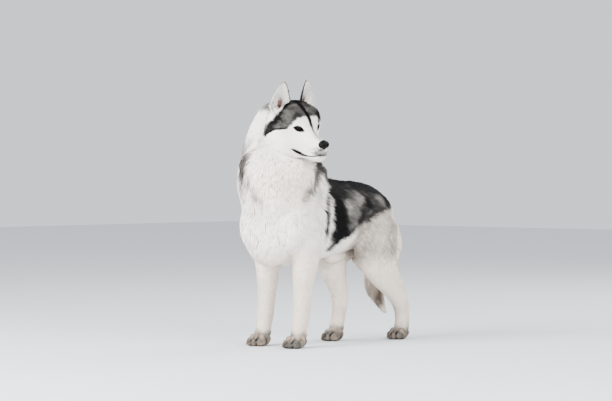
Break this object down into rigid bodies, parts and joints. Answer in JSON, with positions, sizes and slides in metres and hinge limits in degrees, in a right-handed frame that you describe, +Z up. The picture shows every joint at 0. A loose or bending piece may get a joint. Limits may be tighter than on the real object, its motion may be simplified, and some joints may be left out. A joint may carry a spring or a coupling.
{
  "type": "siberian husky figure",
  "caption": "Life-size still figure of a Siberian husky standing on all fours with its head turned to its left, thick neck ruff, upright ears and a hanging brush of a tail.",
  "frame": {"origin": "centre of the bounding box on the floor, at z = 0 under the middle of the body", "axes": "the chest faces -Y, the dog's left side is +X, up is +Z; the head is turned to face about +X"},
  "size_m": [0.3576, 0.717, 0.8714],
  "materials": {
    "face_coat": "dense short fur",
    "ear_coat": "short fur",
    "neck_coat": "long soft fur",
    "body_coat": "thick straight fur",
    "leg_coat": "short dense fur",
    "tail_coat": "long bushy fur",
    "paw_coat": "short fur",
    "claw_horn": "horn",
    "nose_leather": "moist pebbled skin",
    "eye_glass": "polished"
  },
  "bodies": {
    "root": {"head": "face_coat", "jaw": "face_coat", "ear_left": "ear_coat", "ear_right": "ear_coat", "neck": "neck_coat", "torso": "body_coat", "tail": "tail_coat", "nose": "nose_leather", "eye_left": "eye_glass", "eye_right": "eye_glass", "foreleg_left": "leg_coat", "thigh_left": "leg_coat", "hindleg_left": "leg_coat", "fore_paw_left": "paw_coat", "fore_paw_left_claw_1": "claw_horn", "fore_paw_left_claw_2": "claw_horn", "fore_paw_left_claw_3": "claw_horn", "fore_paw_left_claw_4": "claw_horn", "hind_paw_left": "paw_coat", "hind_paw_left_claw_1": "claw_horn", "hind_paw_left_claw_2": "claw_horn", "hind_paw_left_claw_3": "claw_horn", "hind_paw_left_claw_4": "claw_horn", "foreleg_right": "leg_coat", "thigh_right": "leg_coat", "hindleg_right": "leg_coat", "fore_paw_right": "paw_coat", "fore_paw_right_claw_1": "claw_horn", "fore_paw_right_claw_2": "claw_horn", "fore_paw_right_claw_3": "claw_horn", "fore_paw_right_claw_4": "claw_horn", "hind_paw_right": "paw_coat", "hind_paw_right_claw_1": "claw_horn", "hind_paw_right_claw_2": "claw_horn", "hind_paw_right_claw_3": "claw_horn", "hind_paw_right_claw_4": "claw_horn"}
  },
  "joints": []
}
